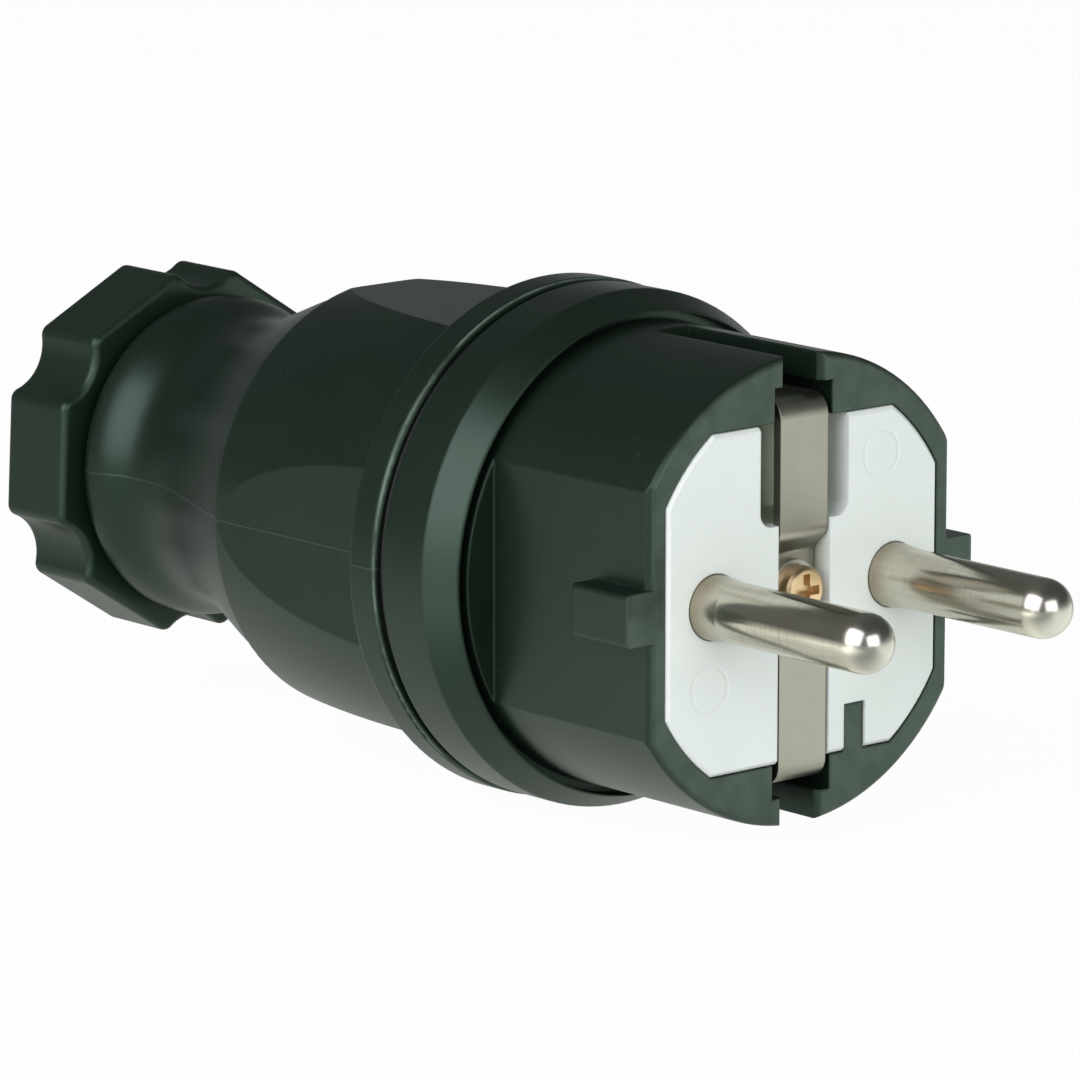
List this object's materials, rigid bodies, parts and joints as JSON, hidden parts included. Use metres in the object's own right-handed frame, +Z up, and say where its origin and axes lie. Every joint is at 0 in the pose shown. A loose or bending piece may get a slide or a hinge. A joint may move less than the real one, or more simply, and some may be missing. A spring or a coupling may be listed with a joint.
{
  "type": "grounded plug",
  "caption": "Rewireable round grounded plug: round pins in a pale insert, earth strap across the face, dark ribbed sleeve, bulbous housing and a screwed cord gland with a hexagonal nut.",
  "frame": {"origin": "centre of the engagement face, half way between the two pins", "axes": "the pins point along -Y and the cord leaves along +Y; +Z runs up along the earth strap; +X is to the right seen from the pins' end"},
  "size_m": [0.0424, 0.1023, 0.0424],
  "materials": {
    "housing": "satin moulded, near black with a green cast",
    "nut": "satin moulded, near black with a green cast",
    "insert": "satin moulded, pale grey",
    "pin_plating": "bright nickel plate over brass",
    "strap_plating": "satin nickel plate over brass",
    "brass": "bright turned brass",
    "steel": "zinc plated",
    "seal_rubber": "matte",
    "gland_plastic": "matte moulded"
  },
  "bodies": {
    "plug": {"front_sleeve": "housing", "contact_carrier": "insert", "line_pin_left": "pin_plating", "line_pin_right": "pin_plating", "earth_strap": "strap_plating", "earth_terminal": "brass", "terminal_screws": "steel", "lock_washer": "steel", "centre_screw": "brass", "housing_gasket": "seal_rubber", "rear_housing": "housing", "cord_seal": "seal_rubber", "cord_grip": "gland_plastic"},
    "slip_ring": {"slip_ring": "gland_plastic"},
    "gland_nut": {"gland_nut": "nut"}
  },
  "joints": [
    {"name": "gland_travel", "type": "slide", "parent": "plug", "child": "slip_ring", "axis": [0, 1, 0], "range_m": [0, 0.0045]},
    {"name": "gland_turn", "type": "hinge", "parent": "slip_ring", "child": "gland_nut", "pos_m": [0, 0.07908, 0], "axis": [0, 1, 0], "range_deg": [0, 1080]}
  ],
  "couplings": [
    {"joint": "gland_travel", "follows": "gland_turn", "m_per_rad": 0.00023873}
  ]
}
